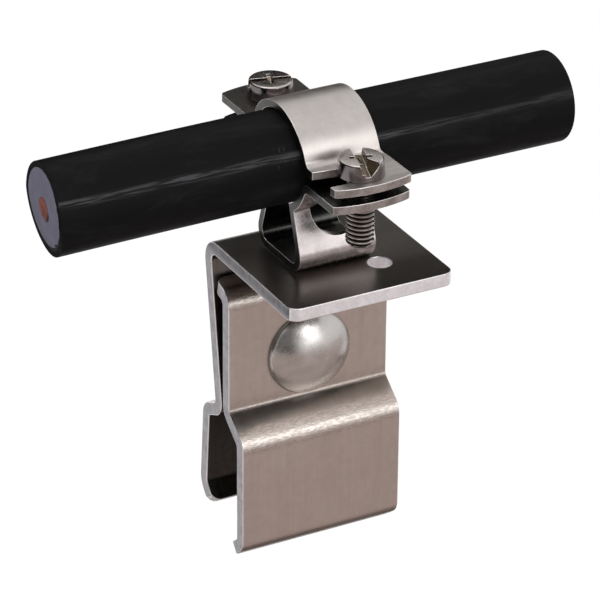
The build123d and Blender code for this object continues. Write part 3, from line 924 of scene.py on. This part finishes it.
def wedge(near, far):
    """A closed bmesh between two upright outlines, in the grimy material."""
    work = bmesh.new()
    corners = []
    for x, (floor_left, floor_right, low), (left, right, high) in (near, far):
        corners.append([work.verts.new(c) for c in (
            (x, floor_left, low), (x, floor_right, low), (x, right, high), (x, left, high))])
    work.faces.new(corners[0])
    work.faces.new(corners[1])
    belt(work, *corners)
    bmesh.ops.recalc_face_normals(work, faces=work.faces)
    for face in work.faces:
        face.material_index = GRIMY
    return work


def carve(work, cutters):
    """Cuts the cutters out of a bmesh with the Boolean modifier and gives back the result."""
    made = []
    for number, shape in enumerate([work] + cutters):
        mesh = bpy.data.meshes.new("carving")
        shape.to_mesh(mesh)
        shape.free()
        for material in (screw_steel, grimy_steel):
            mesh.materials.append(material)
        helper = bpy.data.objects.new("carving_" + str(number), mesh)
        bpy.context.scene.collection.objects.link(helper)
        made.append(helper)
    for cutter in made[1:]:
        cut = made[0].modifiers.new("cut", "BOOLEAN")
        cut.operation, cut.object, cut.solver = "DIFFERENCE", cutter, "EXACT"
    bpy.context.view_layer.update()
    carved = made[0].evaluated_get(bpy.context.evaluated_depsgraph_get())
    mesh = bpy.data.meshes.new_from_object(carved)
    result = bmesh.new()
    result.from_mesh(mesh)
    bmesh.ops.remove_doubles(result, verts=result.verts, dist=0.002 * MM)
    bmesh.ops.dissolve_degenerate(result, edges=result.edges, dist=0.002 * MM)
    for helper in made:
        bpy.data.meshes.remove(helper.data)
    bpy.data.meshes.remove(mesh)
    return result


# %% [markdown]
# The slot leaves the head at both ends. On the front screw the driver has slipped and torn the
# slot's mouth open to a wide V, so that head gets one more cutter. Each thread is a piece of
# its own on the same body as its head, so it turns with it.

# %% Clamp screws
HEAD_TALL, HEAD_WIDE, HEAD_TOP = 3.7 * MM, 5.0 * MM, 4.72 * MM
SCREW_REACH, SCREW_RADIUS, SCREW_PITCH = 16.0 * MM, 3.0 * MM, 1.0 * MM
HALF_SLOT, SLOT_TAPER, HALF_CROSS = 6 * MM, 0.22 * MM, 0.37 * MM
APART = 0.013 * MM


def level(half, height):
    """One level of a cutter's outline, equally wide to both sides."""
    return -half, half, height


def cheese_head(slot_turn, torn):
    outline = [(0, 0), (HEAD_WIDE - 0.2 * MM, 0), (HEAD_WIDE - 0.05 * MM, 0.06 * MM),
               (HEAD_WIDE, 0.22 * MM)] + rounded(HEAD_TOP, HEAD_TALL, 0.45 * MM) + [(0, HEAD_TALL)]
    over = HEAD_TALL + 0.5 * MM
    slot_floor, cross_floor = HEAD_TALL - 1.9 * MM, HEAD_TALL - 2.3 * MM
    near_mouth, far_mouth = (0.95 * MM, 1.5 * MM) if torn else (0.72 * MM, 0.72 * MM)
    cutters = [wedge(*((x, level(mouth - SLOT_TAPER, slot_floor), level(mouth, over))
                       for x, mouth in ((-HALF_SLOT, near_mouth), (HALF_SLOT, far_mouth))))]
    for quarter in range(4):
        apart = quarter * APART
        arm = wedge(
            (-0.2 * MM - apart, level(HALF_CROSS, cross_floor - apart), level(0.62 * MM, over + apart)),
            (2.4 * MM, level(HALF_CROSS, HEAD_TALL - 0.5 * MM), level(0.52 * MM, over + apart)))
        turn(arm, quarter * pi / 2, "Z")
        cutters.append(arm)
    if torn:
        cutters.append(wedge(
            (-HALF_SLOT, (-1.0 * MM, 0.0, HEAD_TALL - 2.7 * MM), (-4.9 * MM, 2.0 * MM, over)),
            (-0.8 * MM, (-0.8 * MM, 0.4 * MM, HEAD_TALL - 1.9 * MM), (-1.05 * MM, 0.9 * MM, over))))
    for cutter in cutters:
        turn(cutter, slot_turn, "Z")
    return carve(turned_body(outline), cutters)


def on_shade_painted_side(face):
    """True for the side of a screw's head, but not for its part towards the back."""
    return face.material_index == 0 and abs(face.normal.z) < 0.5 and face.normal.y < 0.1


def clamp_screw(node, slot_turn, torn):
    low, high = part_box(node)
    seat = Vector(((low.x + high.x) / 2, (low.y + high.y) / 2, high.z - HEAD_TALL))
    head = cheese_head(slot_turn, torn)
    shift(head, seat)
    # Painted shade: the head's sides, except towards the back, get a darker steel.
    mark_faces(head, on_shade_painted_side, SIDE)
    materials = (screw_steel, grimy_steel, burnished_and_highlight_steel, side_steel_painted_shade)
    head_piece = piece_from(head, node + "_head", node, materials, (node,))
    soften(head_piece, 0.06 * MM, segments=2, angle=52, finish=BURNISHED_HIGHLIGHT)
    rod = threaded_rod(SCREW_RADIUS, SCREW_PITCH, SCREW_REACH, 0.8 * MM)
    shift(rod, seat)
    piece_from(rod, node + "_thread", node, (thread_steel, root_steel_grime_and_shade))
    print(node, "seat at", round(seat.z, 5))


clamp_screw("front_screw", radians(75), True)
clamp_screw("rear_screw", radians(-15), False)

# %% [markdown]
# The jaw bolt is a carriage bolt: a low dome, a square neck that stops it from turning in its
# hole, and a coarse thread. The dome is one circular arc, worked out from its height and width.

# %% Jaw bolt
BOLT_RADIUS, BOLT_LENGTH, BOLT_PITCH = 4.0 * MM, 20.0 * MM, 1.25 * MM
NECK_LENGTH, DOME_RADIUS, DOME_HEIGHT, DOME_RIM = 4.0 * MM, 9.8 * MM, 4.8 * MM, 0.7 * MM
DOME_STEPS = 24


def domed_head():
    rise = DOME_HEIGHT - DOME_RIM
    ball = (DOME_RADIUS ** 2 + rise ** 2) / (2 * rise)
    outline = [(0, 0), (DOME_RADIUS - 0.15 * MM, 0), (DOME_RADIUS, 0.15 * MM),
               (DOME_RADIUS, DOME_RIM - 0.12 * MM)]
    for k in range(1, DOME_STEPS + 1):
        radius = (DOME_RADIUS - 0.05 * MM) * (1 - k / DOME_STEPS)
        outline.append((radius, DOME_HEIGHT - ball + (ball ** 2 - radius ** 2) ** 0.5))
    return turned_body(outline, around=128)


def jaw_bolt():
    low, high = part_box("carriage_bolt")
    face_y = high.y - BOLT_LENGTH
    centre = Vector((0, face_y, (low.z + high.z) / 2))
    head = domed_head()
    turn(head, radians(90), "X")
    across = 2 * BOLT_RADIUS
    block = (Matrix.Translation((0, NECK_LENGTH / 2, 0))
             @ Matrix.Diagonal((across, NECK_LENGTH, across, 1)))
    neck = bmesh.ops.create_cube(head, size=1.0, matrix=block)["verts"]
    bmesh.ops.bevel(head, geom=[e for e in head.edges if e.verts[0] in neck and e.verts[1] in neck],
                    offset=0.3 * MM, segments=2, affect="EDGES", profile=0.5)
    shift(head, centre)
    piece_from(head, "carriage_bolt_head", "jaw", (bolt_steel,), ("carriage_bolt",), sharp=50)
    rod = threaded_rod(BOLT_RADIUS, BOLT_PITCH, BOLT_LENGTH - NECK_LENGTH, 0.9 * MM)
    turn(rod, radians(90), "X")
    shift(rod, centre + Vector((0, NECK_LENGTH, 0)))
    piece_from(rod, "carriage_bolt_thread", "jaw", (thread_steel, root_steel_grime_and_shade))
    print("bolt head face at y", round(face_y, 5))


jaw_bolt()

# %% [markdown]
# The nut and the washer behind the back plate, and the rivet inside the saddle, keep the
# shapes of their solids and only get soft edges.

# %% Nut, washer and rivet


def small_part(node, body, material):
    piece = piece_from(clean_copy(node), node + "_soft", body, (material,), (node,))
    soften(piece, 0.15 * MM, segments=2)
    print("softened", node)


small_part("hex_nut", "nut", nut_steel)
small_part("spring_washer", "frame", nut_steel)
small_part("saddle_rivet", "frame", bolt_steel)

# %% [markdown]
# The sample of conductor that the clamp holds. Its three layers are already in the frame as
# three solids, so each only needs its soft edge and its finish. A real cut length is never
# quite true: the free end hangs by half a millimetre, and the saw ran slightly slanted through
# its lower half. Cut into short lengths, the mesh can bend.

# %% Conductor
SAG_START, SAG_DROP, SAG_CUTS = -20.0 * MM, 0.5 * MM, 12
SAW_SLANT, SLANT_BELOW, SAWN_LENGTH = 0.09, AXIS_Z + 1.0 * MM, 2.0 * MM


def conductor_layer(node, materials, width):
    """One layer, cut into short lengths so that its free left end can sag by a hair."""
    work = clean_copy(node)
    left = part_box(node)[0].x
    for cut in range(SAG_CUTS):
        slice_at(work, (SAG_START + (left - SAG_START) * cut / SAG_CUTS, 0, 0), (1, 0, 0))
    for vert in work.verts:
        if vert.co.x < left + SAWN_LENGTH:
            vert.co.x += SAW_SLANT * max(0.0, SLANT_BELOW - vert.co.z)
        away = max(0.0, (SAG_START - vert.co.x) / (SAG_START - left))
        vert.co.z -= SAG_DROP * away ** 1.5
    ends = mark_faces(work, lambda face: abs(face.normal.x) > 0.8, len(materials) - 1)
    soften(piece_from(work, node + "_soft", "frame", materials, (node,)), width, segments=2)
    print(node, "end faces:", ends)


conductor_layer("conductor_sheath", (rubber, cut_rubber), 0.12 * MM)
conductor_layer("conductor_insulation", (plastic,), 0.08 * MM)
conductor_layer("conductor_core", (copper,), 0.12 * MM)

# %% [markdown]
# Last, the view layer is brought up to date.

# %% Finish
bpy.context.view_layer.update()
